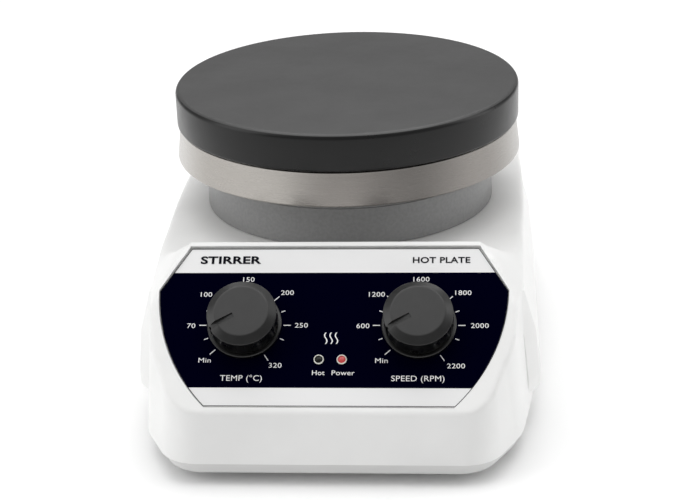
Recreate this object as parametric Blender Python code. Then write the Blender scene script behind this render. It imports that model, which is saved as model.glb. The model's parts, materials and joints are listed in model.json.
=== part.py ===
"""Benchtop magnetic stirrer with a round hotplate, as an assembly of separate pieces.

Frame: +Z up, feet on z = 0, front panel towards -Y, origin under the middle of the case.
Every size below is in millimetres; the mesh helpers turn them into metres.
"""

import math

import bmesh
import bpy
from mathutils import Matrix, Vector

MM = 0.001

# Overall layout
AXIS_Y = 22.0  # the plate, the motor and the rotor share this vertical axis
PLATE_TOP_Z = 107.0
GAP = 0.3  # running gap between touching pieces
FLOAT_GAP = 0.1  # gap inside a light press fit

# Case
CASE_BOTTOM_Z = 8.5
DECK_Z = 59.0
CREST_Z = 69.3
CREST_Y = -54.6
WALL = 2.6
SIDE_DRAFT = math.tan(math.radians(4.7))
FRONT_DRAFT = math.tan(math.radians(9.5))
REAR_Y = 110.0

# Sloping front panel
PANEL_Y = -103.9
PANEL_Z = 28.2
PANEL_TILT = math.radians(39.5)
PANEL_LENGTH = 61.7
LABEL_RECESS = 0.9
LABEL_THICKNESS = 0.6

# Controls on the panel, across and up from the middle of its lower edge
KNOB_X = 31.0
KNOB_S = 31.0
KNOB_HEIGHT = 12.0
KNOB_SKIRT_R = 13.4
KNOB_RIM_R = 12.85
KNOB_FACE_R = 9.9
POINTER_ANGLE = math.radians(209.0)
LAMP_X = 4.05
LAMP_S = 17.7

# Hotplate
PLATE_R = 67.5
PLATE_HEIGHT = 14.4
SHROUD_TOP_R = 66.6
SHROUD_BOTTOM_R = 67.9
SHROUD_TOP_Z = 92.3
SHROUD_BOTTOM_Z = 79.1
NECK_TOP_R = 56.6
NECK_BOTTOM_R = 57.0
NECK_TOP_Z = 78.3
STANDOFF_CIRCLE_R = 40.0

# Drive
SHAFT_R = 3.0
BEARING_R = 8.0
MOTOR_R = 27.0
MOTOR_BOTTOM_Z = 20.0
MOTOR_TOP_Z = 50.0
FAN_R = 24.0
FAN_BLADES = 7
MAGNET_CENTRE_R = 24.0
HANGER_PLACES = ((-30.0, -2.0), (-30.0, 46.0), (30.0, -2.0), (30.0, 46.0))
HANGER_LOW_Z = 52.5

# Base
FOOT_R = 8.0
FOOT_PLACES = ((-50.0, -78.0), (50.0, -78.0), (-52.0, 84.0), (52.0, 84.0))
SCREW_PLACES = ((-44.0, -92.0), (44.0, -92.0), (-58.0, 66.0), (58.0, 66.0))
PAN_FLOOR_Z = 5.9
POST_R = 4.2

# Rear connections
REAR_PANEL_Y = 107.1
REAR_PANEL_THICKNESS = 1.5
INLET_X = -24.0
INLET_Z = 29.0
ROCKER_X = 24.0
ROCKER_Z = 29.0
ROCKER_TILT = math.radians(10.0)
ROD_X = 0.0
ROD_Y = 97.0


def clearScene():
    for obj in list(bpy.data.objects):
        bpy.data.objects.remove(obj, do_unlink=True)


def makeMaterial(name, colour, roughness, metallic=0.0):
    material = bpy.data.materials.new(name)
    material.use_nodes = True
    shader = material.node_tree.nodes["Principled BSDF"]
    shader.inputs["Base Color"].default_value = (*colour, 1.0)
    shader.inputs["Roughness"].default_value = roughness
    shader.inputs["Metallic"].default_value = metallic
    return material


def place(x=0.0, y=0.0, z=0.0):
    return Matrix.Translation((x, y, z))


def onPanel(x, s, height=0.0):
    """Frame on the sloping panel: x across it, y up it and z out of it."""
    panel = place(0.0, PANEL_Y, PANEL_Z) @ Matrix.Rotation(PANEL_TILT, 4, "X")
    return panel @ place(x, s, height)


def addObject(name, mesh, material, frame):
    """A node whose origin is at the frame, with its size in metres."""
    mesh.transform(Matrix.Scale(MM, 4))
    obj = bpy.data.objects.new(name, mesh)
    bpy.context.scene.collection.objects.link(obj)
    obj.matrix_world = place(*(frame.translation * MM)) @ frame.to_3x3().to_4x4()
    if material:
        mesh.materials.append(material)
    mesh.shade_smooth()
    mesh.set_sharp_from_angle(angle=math.radians(32.0))
    return obj


def finishMesh(name, bm):
    bmesh.ops.remove_doubles(bm, verts=bm.verts, dist=1e-4)
    bmesh.ops.dissolve_degenerate(bm, dist=1e-5, edges=bm.edges)
    loose = [edge for edge in bm.edges if not edge.link_faces]
    bmesh.ops.delete(bm, geom=loose, context="EDGES")
    bmesh.ops.recalc_face_normals(bm, faces=bm.faces)
    mesh = bpy.data.meshes.new(name)
    bm.to_mesh(mesh)
    bm.free()
    return mesh


def turned(name, profile, material=None, frame=None, steps=24):
    """A closed (radius, height) outline turned about the frame's Z axis."""
    bm = bmesh.new()
    verts = [bm.verts.new((radius, 0.0, height)) for radius, height in profile]
    edges = [bm.edges.new(pair) for pair in zip(verts, verts[1:] + verts[:1])]
    bmesh.ops.spin(
        bm, geom=verts + edges, axis=(0, 0, 1), cent=(0, 0, 0), angle=math.tau, steps=steps, use_merge=True
    )
    return addObject(name, finishMesh(name, bm), material, frame or place())


def cylinder(name, radius, low, high, material=None, frame=None, steps=16):
    return turned(name, [(0, high), (radius, high), (radius, low), (0, low)], material, frame, steps)


def ring(name, inner, outer, low, high, material=None, frame=None, steps=24):
    profile = [(inner, high), (outer, high), (outer, low), (inner, low)]
    return turned(name, profile, material, frame, steps)


def lofted(name, sections, material=None, frame=None):
    """Closed solid through sections that hold the same number of (x, y, z) points."""
    bm = bmesh.new()
    loops = [[bm.verts.new(point) for point in section] for section in sections]
    for lower, upper in zip(loops, loops[1:]):
        for i in range(len(lower)):
            j = (i + 1) % len(lower)
            bm.faces.new((lower[i], lower[j], upper[j], upper[i]))
    bm.faces.new(loops[0][::-1])
    bm.faces.new(loops[-1])
    return addObject(name, finishMesh(name, bm), material, frame or place())


def prism(name, outline, low, high, material=None, frame=None):
    sections = [[(x, y, z) for x, y in outline] for z in (low, high)]
    return lofted(name, sections, material, frame)


def box(name, size, centre, material=None, frame=None):
    half = Vector(size) / 2
    low, high = Vector(centre) - half, Vector(centre) + half
    outline = [(low.x, low.y), (high.x, low.y), (high.x, high.y), (low.x, high.y)]
    return prism(name, outline, low.z, high.z, material, frame)


def roundedOutline(corners, steps=6):
    """Closed outline through (x, y, radius) corners, each one rounded by an arc."""
    points = []
    count = len(corners)
    for i, (x, y, radius) in enumerate(corners):
        here = Vector((x, y))
        if radius == 0:
            points.append((x, y))
            continue
        towards = [Vector(corners[k % count][:2]) - here for k in (i - 1, i + 1)]
        before, after = towards[0].normalized(), towards[1].normalized()
        half = before.angle(after) / 2
        centre = here + (before + after).normalized() * radius / math.sin(half)
        start = here + before * radius / math.tan(half) - centre
        sweep = start.angle_signed(here + after * radius / math.tan(half) - centre)
        for k in range(steps + 1):
            turn = Matrix.Rotation(-sweep * k / steps, 2)
            points.append(tuple(centre + turn @ start))
    return points


def mirroredOutline(half, steps=6):
    """Outline whose right half runs from the front to the rear."""
    left = [(-x, y, radius) for x, y, radius in reversed(half)]
    return roundedOutline(half + left, steps)


def combine(target, operation, cutters):
    for cutter in cutters:
        modifier = target.modifiers.new(operation.lower(), "BOOLEAN")
        modifier.operation = operation
        modifier.object = cutter
        with bpy.context.temp_override(object=target, active_object=target):
            bpy.ops.object.modifier_apply(modifier=modifier.name)
        bpy.data.objects.remove(cutter, do_unlink=True)
    target.data.shade_smooth()
    target.data.set_sharp_from_angle(angle=math.radians(32.0))
    return target


def subtract(target, *cutters):
    return combine(target, "DIFFERENCE", cutters)


def unite(target, *pieces):
    return combine(target, "UNION", pieces)


def bevelEdges(target, width, segments, least_angle):
    modifier = target.modifiers.new("soft edges", "BEVEL")
    modifier.width = width * MM
    modifier.segments = segments
    modifier.limit_method = "ANGLE"
    modifier.angle_limit = math.radians(least_angle)
    modifier.use_clamp_overlap = True
    with bpy.context.temp_override(object=target, active_object=target):
        bpy.ops.object.modifier_apply(modifier=modifier.name)


def caseOutline(z, inset=0.0, steps=4):
    """Plan of the case at one height, narrower higher up, with large front corners."""
    rise = z - CASE_BOTTOM_Z
    side = rise * SIDE_DRAFT + inset
    front = rise * FRONT_DRAFT + inset
    half = [
        (56.0 - side, -110.0 + front, 15.0 - inset / 2),
        (67.6 - side, -87.5 + inset / 2, 24.0),
        (72.0 - side, -56.0, 40.0),
        (74.2 - side, 25.0, 600.0),
        (72.0 - side, REAR_Y - inset, 20.0 - inset),
    ]
    return mirroredOutline(half, steps)


def caseBlock(name, inset, panel_height, deck_drop, low):
    """Drafted block with the sloping panel, the crest behind it and the flat deck cut away."""
    levels = (low, CREST_Z + 6)
    sections = [[(x, y, z) for x, y in caseOutline(z, inset)] for z in levels]
    block = lofted(name, sections)
    above_panel = box("above_panel", (200, 140, 80), (0, 40, panel_height + 40), None, onPanel(0, 0))
    deck_z = DECK_Z - deck_drop
    crest_z = CREST_Z - deck_drop
    deck_side = [
        (CREST_Y + deck_drop * 0.3, crest_z),
        (CREST_Y + 13.0, deck_z),
        (REAR_Y + 5.0, deck_z),
        (REAR_Y + 5.0, 120.0),
        (CREST_Y, 120.0),
    ]
    sections = [[(x, y, z) for y, z in deck_side] for x in (-90.0, 90.0)]
    above_deck = lofted("above_deck", sections)
    shoulders = [shoulderCutter(side, deck_drop) for side in (-1, 1)]
    return subtract(block, above_panel, above_deck, *shoulders)


def shoulderCutter(side, drop):
    """Cuts the upper outer corner away, from the panel's side to the crest's end."""
    normal = Vector((0.765 * side, -0.131, 0.631)).normalized()
    edge = Vector((66.7 * side, -64.2, 53.8)) - normal * drop
    turn = normal.to_track_quat("Z", "Y").to_matrix().to_4x4()
    frame = Matrix.Translation(edge) @ turn
    return box("shoulder", (120, 120, 40), (0, 0, 20), None, frame)


def sideWing(side):
    """Grip that stands out of the side, flush at its top and cut back under its lower edge."""
    full = [(64.0, 54.0), (68.6, 53.0), (73.0, 37.0), (74.7, 20.0), (74.5, 15.0), (70.6, 10.5), (64.0, 10.5)]
    stations = ((-67.0, 4.6), (-61.0, 0.3), (-20.0, 0.0), (66.0, 0.0), (78.0, 5.0))
    sections = []
    for y, pulled in stations:
        sections.append([(side * max(x - pulled, 64.0 + 0.02 * k), y, z) for k, (x, z) in enumerate(full)])
    return lofted("wing", sections)


def labelOutline(sides=0.0, top=0.0, bottom=0.0):
    """Panel outline, grown by a gap: curved sides that open upwards, cut off at the upper corners."""
    apex = 44.6
    arc_r = 66.0 + sides
    arc_x, arc_s = 62.6 - 66.0, 46.0
    right = []
    for k in range(9):
        s = -bottom + (apex + bottom) * k / 8
        right.append((arc_x + math.sqrt(arc_r**2 - (s - arc_s) ** 2), s))
    right.append((52.2 + top * 0.55, PANEL_LENGTH + top))
    return right + [(-x, s) for x, s in reversed(right)]


def buildCase(plastic):
    case = caseBlock("upper_housing", 0.0, LABEL_RECESS, 0.0, CASE_BOTTOM_Z)
    bevelEdges(case, 1.6, 2, 24.0)
    unite(case, sideWing(-1), sideWing(1))
    hollow = caseBlock("hollow", WALL, -LABEL_RECESS - WALL, WALL, CASE_BOTTOM_Z - 4)
    axis = place(0, AXIS_Y)
    holes = [
        prism("label_recess", labelOutline(0.3, 0.7, 0.8), -LABEL_RECESS, 20.0, None, onPanel(0, 0)),
        cylinder("shaft_hole", 12.0, 40.0, 80.0, None, axis, 32),
        box("rear_window", (90.0, 20.0, 30.0), (0, REAR_Y, 29.0)),
        cylinder("rod_hole", 7.3, 40.0, 80.0, None, place(ROD_X, ROD_Y)),
    ]
    holes += [cylinder("pot_hole", 4.4, -20, 10, None, onPanel(x, KNOB_S), 20) for x in (-KNOB_X, KNOB_X)]
    holes += [cylinder("lamp_hole", 1.9, -20, 10, None, onPanel(x, LAMP_S), 16) for x in (-LAMP_X, LAMP_X)]
    subtract(case, hollow, *holes)
    for x, y in SCREW_PLACES:
        top = panelUnderside(y - POST_R) if y < 0 else DECK_Z - 1.0
        unite(case, cylinder("post", POST_R, 9.4, top, None, place(x, y), 12))
        subtract(case, cylinder("pilot", 1.8, 9.0, 24.0, None, place(x, y), 12))
    for x, y in HANGER_PLACES:
        unite(case, cylinder("hanger", 4.0, HANGER_LOW_Z, DECK_Z - 1, None, place(x, y), 16))
    case.data.materials.append(plastic)
    return case


def panelUnderside(y):
    """Height just inside the panel's wall above one place on the floor."""
    return PANEL_Z + (y - PANEL_Y) * math.tan(PANEL_TILT) - 3.0


def panOutline(inset):
    return caseOutline(CASE_BOTTOM_Z, inset, 3)


def buildPan(plastic):
    """Shallow tray under the case with a rim that stands inside the case's wall."""
    lip = [[(x, y, z) for x, y in panOutline(inset)] for z, inset in ((3.3, 3.2), (4.4, 2.2), (8.2, 2.0))]
    pan = lofted("base_pan", lip, plastic)
    rim = WALL + 0.5
    unite(pan, prism("rim", panOutline(rim), 6.0, 11.5))
    subtract(pan, prism("inside", panOutline(rim + 1.8), PAN_FLOOR_Z, 20.0))
    for x, y in SCREW_PLACES:
        unite(pan, cylinder("boss", 5.5, 5.0, 9.0, None, place(x, y), 12))
        subtract(pan, cylinder("hole", 1.8, 2.0, 10.0, None, place(x, y), 12))
        subtract(pan, cylinder("head_seat", 3.4, 2.0, 6.2, None, place(x, y), 12))
    for x, y in FOOT_PLACES:
        subtract(pan, cylinder("foot_hole", 3.3, 2.0, 10.0, None, place(x, y), 12))
    for x in (-26.0, 26.0):
        for y in (-66.0, -26.0):
            unite(pan, cylinder("pillar", 2.4, 5.0, 12.0, None, place(x, y), 12))
    for k in range(-3, 4):
        subtract(pan, box("vent", (3.0, 34.0, 10.0), (k * 7.5, AXIS_Y, 5.0)))
    return pan


def buildFeet(rubber, steel):
    for number, (x, y) in enumerate(FOOT_PLACES, 1):
        profile = [(0, 8), (2.7, 8), (3.0, 7.7), (3.0, 3.0), (FOOT_R, 3.0), (FOOT_R, 0.8), (7.2, 0), (0, 0)]
        turned(f"foot_{number}", profile, rubber, place(x, y), 16)
    for number, (x, y) in enumerate(SCREW_PLACES, 1):
        profile = [(0, 20), (1.0, 20), (1.5, 19), (1.5, 5.8), (3.0, 5.8), (3.0, 3.9), (2.6, 3.6), (0, 3.6)]
        turned(f"case_screw_{number}", profile, steel, place(x, y), 10)


def standoffPlaces():
    """The three posts between the neck and the plate."""
    turns = [math.radians(90 + 120 * k) for k in range(3)]
    radius = STANDOFF_CIRCLE_R
    return [place(radius * math.cos(turn), AXIS_Y + radius * math.sin(turn)) for turn in turns]


def buildPlate(black, steel, mica, wool, dark):
    axis = place(0, AXIS_Y)
    low = PLATE_TOP_Z - PLATE_HEIGHT
    profile = [(0, PLATE_TOP_Z)]
    for k in range(4):
        angle = math.radians(90 - 30 * k)
        profile.append((PLATE_R - 2.1 + 2.1 * math.cos(angle), PLATE_TOP_Z - 2.1 + 2.1 * math.sin(angle)))
    profile += [(PLATE_R, low + 1.0), (PLATE_R - 1.0, low), (63.5, low)]
    profile += [(63.5, 98.6), (2.6, 98.6), (2.6, 103.0), (0, 103.0)]
    turned("heating_plate", profile, black, axis, 56)
    ring("heater_element", 12.0, 58.0, 96.6, 98.3, mica, axis, 32)
    clamp = ring("clamp_plate", 10.0, 60.0, 95.1, 96.3, steel, axis, 32)
    wool_ring = ring("insulation_ring", 22.0, 58.0, 80.5, 94.8, wool, axis, 32)
    profile = [
        (SHROUD_TOP_R, SHROUD_TOP_Z), (SHROUD_TOP_R, 91.0), (SHROUD_BOTTOM_R, SHROUD_BOTTOM_Z + 0.8),
        (SHROUD_BOTTOM_R - 0.6, SHROUD_BOTTOM_Z), (12.0, SHROUD_BOTTOM_Z), (12.0, 80.1),
        (66.4, 80.1), (65.6, 91.0), (62.0, 91.4), (62.0, SHROUD_TOP_Z),
    ]
    shroud = turned("plate_shroud", profile, steel, axis, 56)
    for number, spot in enumerate(standoffPlaces(), 1):
        subtract(wool_ring, cylinder("clearance", 4.6, 70, 100, None, spot, 12))
        for sheet in (clamp, shroud):
            subtract(sheet, cylinder("clearance", 1.9, 70, 100, None, spot, 12))
        profile = [
            (0, 96.2), (1.5, 96.2), (1.5, 94.8), (4.2, 94.8), (4.2, 80.4),
            (1.5, 80.4), (1.5, 75.3), (3.0, 75.3), (3.0, 73.3), (0, 73.3),
        ]
        turned(f"plate_standoff_{number}", profile, steel, spot, 12)
    cylinder("temperature_probe", 2.0, 84.0, 102.6, steel, axis, 16)
    cylinder("thermal_cutout", 5.0, 89.0, 94.8, dark, place(14.5, AXIS_Y), 20)


def buildNeck(grey):
    axis = place(0, AXIS_Y)
    profile = [
        (NECK_TOP_R - 1.2, NECK_TOP_Z), (NECK_TOP_R, NECK_TOP_Z - 1.0), (NECK_BOTTOM_R, 59.3),
        (NECK_BOTTOM_R - 3, 59.3), (NECK_TOP_R - 2.6, 75.6), (34.5, 75.6), (34.5, NECK_TOP_Z),
    ]
    neck = turned("neck_collar", profile, grey, axis, 56)
    for spot in standoffPlaces():
        subtract(neck, cylinder("clearance", 1.9, 70, 90, None, spot, 12))


def buildLabel(navy):
    label = prism("panel_overlay", labelOutline(), -LABEL_THICKNESS, 0.0, navy, onPanel(0, 0))
    for x in (-KNOB_X, KNOB_X):
        subtract(label, cylinder("hole", 4.4, -5, 5, None, onPanel(x, KNOB_S), 20))
    for x in (-LAMP_X, LAMP_X):
        subtract(label, cylinder("hole", 1.9, -5, 5, None, onPanel(x, LAMP_S), 16))


def buildKnob(name, x, plastic):
    frame = onPanel(x, KNOB_S)
    profile = [
        (0, KNOB_HEIGHT), (KNOB_FACE_R, KNOB_HEIGHT), (KNOB_RIM_R, KNOB_HEIGHT - 1.7),
        (KNOB_RIM_R + 0.05, 2.4), (KNOB_SKIRT_R, 2.0), (KNOB_SKIRT_R, 0.5),
        (9.0, 0.5), (9.0, 4.0), (3.3, 4.0), (3.3, 9.5), (0, 9.5),
    ]
    knob = turned(name, profile, plastic, frame, 36)
    pointer = frame @ Matrix.Rotation(POINTER_ANGLE, 4, "Z")
    subtract(knob, box("groove", (12.0, 1.6, 2.0), (8.5, 0, KNOB_HEIGHT), None, pointer))


def buildControls(plastic, steel, brass, board, red, olive, white):
    for word, x in (("temp", -KNOB_X), ("speed", KNOB_X)):
        frame = onPanel(x, KNOB_S)
        buildKnob(f"{word}_knob", x, plastic)
        profile = [
            (3.3, 3.4), (4.1, 3.4), (4.1, -3.9), (8.5, -3.9), (8.5, -13.0),
            (0, -13.0), (0, -9.0), (5.0, -9.0), (5.0, -6.0), (3.3, -6.0),
        ]
        turned(f"{word}_potentiometer", profile, steel, frame, 16)
        profile = [(0, 9.2), (SHAFT_R, 9.2), (SHAFT_R, -6.4), (4.6, -6.4), (4.6, -8.6), (0, -8.6)]
        turned(f"{word}_shaft", profile, brass, frame, 12)
        ring(f"{word}_nut", 5.0, 7.0, 0.3, 2.3, steel, frame, 6)
    for word, x, lens in (("hot", -LAMP_X, olive), ("power", LAMP_X, red)):
        frame = onPanel(x, LAMP_S)
        profile = [(0, 0.95), (0.8, 0.85), (1.3, 0.55), (1.4, 0.3), (1.4, -13.0), (0, -13.0)]
        turned(f"{word}_lamp", profile, lens, frame, 12)
        ring(f"{word}_lamp_bezel", 1.55, 1.95, 0.3, 0.7, white, frame, 12)
    box("front_board", (104.0, 34.0, 1.6), (0, 29.0, -14.2), board, onPanel(0, 0))


def buildMotor(steel, aluminium, dark, copper, magnet, white):
    axis = place(0, AXIS_Y)
    bottom, top = MOTOR_BOTTOM_Z, MOTOR_TOP_Z
    seat = BEARING_R + FLOAT_GAP
    bore = SHAFT_R + FLOAT_GAP
    profile = [
        (seat, top), (MOTOR_R, top), (MOTOR_R, bottom + 2.3), (MOTOR_R - 1.8, bottom + 2.3),
        (MOTOR_R - 1.8, top - 2), (10.0, top - 2), (10.0, top - 5), (seat, top - 5),
    ]
    turned("motor_can", profile, steel, axis, 28)
    profile = [
        (seat, bottom + 5), (10.0, bottom + 5), (10.0, bottom + 2),
        (MOTOR_R, bottom + 2), (MOTOR_R, bottom), (seat, bottom),
    ]
    turned("motor_end_cap", profile, aluminium, axis, 28)
    ring("upper_bearing", bore, BEARING_R, top - 5, top, steel, axis, 16)
    ring("lower_bearing", bore, BEARING_R, bottom, bottom + 5, steel, axis, 16)
    ring("stator_core", 15.5, MOTOR_R - 2.1, bottom + 6.5, top - 6.5, copper, axis, 24)
    ring("rotor_core", bore, 15.0, bottom + 7, top - 7, dark, axis, 24)
    cylinder("motor_shaft", SHAFT_R, 10.0, 66.5, steel, axis, 12)
    outline = roundedOutline([(36, -30, 5), (36, 30, 5), (-36, 30, 5), (-36, -30, 5)], 3)
    bracket = prism("motor_bracket", outline, top + GAP, HANGER_LOW_Z - GAP, aluminium, axis)
    subtract(bracket, cylinder("hole", 10.0, 40, 60, None, axis, 24))
    yoke = box("magnet_yoke", (66.0, 20.0, 4.0), (0, 0, 66.0), steel, axis)
    unite(yoke, cylinder("hub", 6.5, 60.5, 65.0, None, axis, 20))
    subtract(yoke, cylinder("bore", bore, 55.0, 66.8, None, axis, 24))
    for word, side in (("north", 1), ("south", -1)):
        box(f"magnet_{word}", (16.0, 18.0, 7.0), (side * MAGNET_CENTRE_R, 0, 71.8), magnet, axis)
    buildFan(white)


def buildFan(white):
    axis = place(0, AXIS_Y)
    fan = ring("cooling_fan", SHAFT_R + FLOAT_GAP, 7.0, 10.5, 18.5, white, axis, 24)
    for k in range(FAN_BLADES):
        turn = axis @ Matrix.Rotation(math.tau * k / FAN_BLADES, 4, "Z")
        tilt = Matrix.Rotation(math.radians(50), 4, "X")
        length = FAN_R - 6.0
        middle = turn @ place(6.0 + length / 2, 0, 14.5) @ tilt
        unite(fan, box("blade", (length, 8.0, 1.2), (0, 0, 0), None, middle))


def buildBoards(board, aluminium, blue, yellow):
    box("control_board", (62.0, 50.0, 1.6), (0, -46.0, 13.1), board)
    box("transformer", (30.0, 24.0, 22.0), (-14.0, -40.0, 25.5), yellow)
    sink = box("heat_sink", (12.0, 34.0, 3.0), (22.0, -46.0, 15.8), aluminium)
    for k in range(3):
        unite(sink, box("fin", (1.6, 34.0, 18.0), (17.0 + 5.0 * k, -46.0, 24.0)))
    cylinder("mains_capacitor", 6.0, 14.2, 32.0, blue, place(-20.0, -62.0), 24)


def rearPiece(name, middle, size, near, far, material=None, radius=0.0):
    """Block on the rear side with rounded corners, between two depths along Y."""
    (x, z), (wide, high) = middle, size
    frame = place(x, near, z) @ Matrix.Rotation(math.radians(-90), 4, "X")
    corners = [(a * wide / 2, b * high / 2, radius) for a, b in ((1, -1), (1, 1), (-1, 1), (-1, -1))]
    return prism(name, roundedOutline(corners, 3), 0, far - near, material, frame)


def buildRear(steel, dark, brass):
    inlet_at, rocker_at = (INLET_X, INLET_Z), (ROCKER_X, ROCKER_Z)
    fuse_at = (INLET_X, INLET_Z - 9.2)
    face = REAR_PANEL_Y + 2.3
    inside = REAR_PANEL_Y - REAR_PANEL_THICKNESS
    panel = rearPiece("rear_panel", (0, 29.8), (98.0, 35.0), inside, REAR_PANEL_Y, steel, 1.0)
    subtract(panel, rearPiece("inlet_hole", inlet_at, (28.6, 25.6), 90.0, 130.0))
    subtract(panel, rearPiece("rocker_hole", rocker_at, (22.6, 20.6), 90.0, 130.0))
    inlet = rearPiece("mains_inlet", inlet_at, (28.0, 25.0), 86.0, face, dark, 1.0)
    unite(inlet, rearPiece("flange", inlet_at, (33.0, 29.0), REAR_PANEL_Y + GAP, face, None, 2.0))
    subtract(inlet, rearPiece("socket", (INLET_X, INLET_Z + 3.5), (24.5, 16.2), 92.0, 132.0, None, 2.5))
    subtract(inlet, rearPiece("fuse_slot", fuse_at, (22.6, 5.6), 88.0, 128.0, None, 0.4))
    for word, x, z in (("live", -7.0, 2.0), ("neutral", 7.0, 2.0), ("earth", 0.0, 6.0)):
        rearPiece(f"inlet_pin_{word}", (INLET_X + x, INLET_Z + z), (2.0, 4.0), 92.3, face - 2.0, brass, 0.4)
    drawer = rearPiece("fuse_drawer", fuse_at, (22.0, 5.0), 90.0, face + 0.4, dark, 0.4)
    subtract(drawer, box("fuse_bed", (16.0, 12.0, 6.0), (INLET_X, 98.0, INLET_Z - 6.0)))
    frame = rearPiece("rocker_frame", rocker_at, (22.0, 20.0), 92.0, face, dark, 1.0)
    unite(frame, rearPiece("flange", rocker_at, (26.0, 24.0), REAR_PANEL_Y + GAP, face, None, 2.0))
    subtract(frame, rearPiece("well", rocker_at, (18.0, 17.0), 98.0, 138.0, None, 0.5))
    buildRocker(dark)


def buildRocker(dark):
    """Rocker that tips about its cross axis; its upper half is pressed in while it is on."""
    pivot = place(ROCKER_X, REAR_PANEL_Y - 2.0, ROCKER_Z) @ Matrix.Rotation(ROCKER_TILT, 4, "X")
    side = [(-7.6, 1.4), (-4.0, -4.5), (4.0, -4.5), (7.6, 1.4), (7.6, 3.2), (0.0, 1.9), (-7.6, 3.2)]
    sections = [[(x, y, z) for z, y in side] for x in (-8.5, 8.5)]
    lofted("power_rocker", sections, dark, pivot)


def buildRodSocket(steel):
    """Threaded bush in the deck, for a support rod."""
    profile = [(4.3, 61.0), (10.0, 61.0), (10.0, 59.3), (7.0, 59.3), (7.0, 45.0), (4.3, 45.0)]
    turned("rod_socket", profile, steel, place(ROD_X, ROD_Y), 24)


def build():
    clearScene()
    white = makeMaterial("white case plastic", (0.86, 0.86, 0.85), 0.42)
    black = makeMaterial("black plate coating", (0.09, 0.09, 0.09), 0.55)
    steel = makeMaterial("brushed steel", (0.58, 0.57, 0.55), 0.3, 1.0)
    grey = makeMaterial("grey neck casting", (0.16, 0.16, 0.16), 0.5)
    navy = makeMaterial("navy panel film", (0.002, 0.002, 0.01), 0.5)
    knob = makeMaterial("black knob plastic", (0.05, 0.05, 0.05), 0.45)
    red = makeMaterial("red lamp lens", (0.55, 0.07, 0.06), 0.2)
    olive = makeMaterial("dark lamp lens", (0.05, 0.05, 0.03), 0.2)
    rubber = makeMaterial("foot rubber", (0.03, 0.03, 0.03), 0.8)
    brass = makeMaterial("brass", (0.7, 0.52, 0.25), 0.3, 1.0)
    board = makeMaterial("circuit board", (0.03, 0.22, 0.08), 0.5)
    mica = makeMaterial("mica sheet", (0.45, 0.38, 0.25), 0.6)
    wool = makeMaterial("mineral wool", (0.75, 0.7, 0.55), 0.9)
    dark = makeMaterial("black moulding", (0.03, 0.03, 0.03), 0.4)
    aluminium = makeMaterial("aluminium", (0.75, 0.75, 0.77), 0.4, 1.0)
    copper = makeMaterial("copper winding", (0.6, 0.3, 0.15), 0.4, 1.0)
    magnet = makeMaterial("magnet", (0.3, 0.3, 0.32), 0.3, 1.0)
    blue = makeMaterial("capacitor sleeve", (0.05, 0.1, 0.3), 0.4)
    yellow = makeMaterial("transformer tape", (0.7, 0.55, 0.1), 0.5)

    buildCase(white)
    buildPan(white)
    buildFeet(rubber, steel)
    buildPlate(black, steel, mica, wool, dark)
    buildNeck(grey)
    buildLabel(navy)
    buildControls(knob, steel, brass, board, red, olive, white)
    buildMotor(steel, aluminium, dark, copper, magnet, white)
    buildBoards(board, aluminium, blue, yellow)
    buildRear(steel, dark, brass)
    buildRodSocket(steel)


build()
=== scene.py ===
import bpy
import json
import math
from mathutils import Matrix, Vector

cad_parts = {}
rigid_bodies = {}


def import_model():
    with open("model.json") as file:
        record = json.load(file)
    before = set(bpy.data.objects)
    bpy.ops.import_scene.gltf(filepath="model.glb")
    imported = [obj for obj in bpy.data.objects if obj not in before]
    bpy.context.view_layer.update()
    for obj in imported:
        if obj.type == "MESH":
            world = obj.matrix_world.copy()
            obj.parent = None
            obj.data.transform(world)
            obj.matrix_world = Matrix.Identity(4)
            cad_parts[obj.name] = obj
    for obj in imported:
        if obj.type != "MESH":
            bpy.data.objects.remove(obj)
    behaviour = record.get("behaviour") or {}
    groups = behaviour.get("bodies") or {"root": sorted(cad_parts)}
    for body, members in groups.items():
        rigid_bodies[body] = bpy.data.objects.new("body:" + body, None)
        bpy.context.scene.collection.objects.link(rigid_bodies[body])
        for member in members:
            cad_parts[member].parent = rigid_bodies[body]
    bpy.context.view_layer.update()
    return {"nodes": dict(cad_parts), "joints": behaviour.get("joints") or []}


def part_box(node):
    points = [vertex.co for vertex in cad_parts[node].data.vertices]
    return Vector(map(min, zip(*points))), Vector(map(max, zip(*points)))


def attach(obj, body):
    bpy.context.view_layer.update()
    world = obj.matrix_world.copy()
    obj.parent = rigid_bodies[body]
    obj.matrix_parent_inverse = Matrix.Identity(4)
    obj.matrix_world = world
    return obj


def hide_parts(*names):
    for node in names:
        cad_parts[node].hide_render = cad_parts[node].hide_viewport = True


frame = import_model()
mm = 0.001
weld = 0.002 * mm  # points closer than this are merged

# places read from the frame
plateLow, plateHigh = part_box("heating_plate")
shroudLow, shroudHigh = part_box("plate_shroud")
neckLow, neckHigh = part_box("neck_collar")
caseLow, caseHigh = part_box("upper_housing")
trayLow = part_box("base_pan")[0]
joints = {joint["name"]: joint for joint in frame["joints"]}
plateAxis = Vector((0, (plateLow.y + plateHigh.y) / 2, 0))
panelNormal = Vector(joints["temp_knob_turn"]["axis"]).normalized()
leftPivot = Vector(joints["temp_knob_turn"]["pos_m"])
rightPivot = Vector(joints["speed_knob_turn"]["pos_m"])

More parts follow.
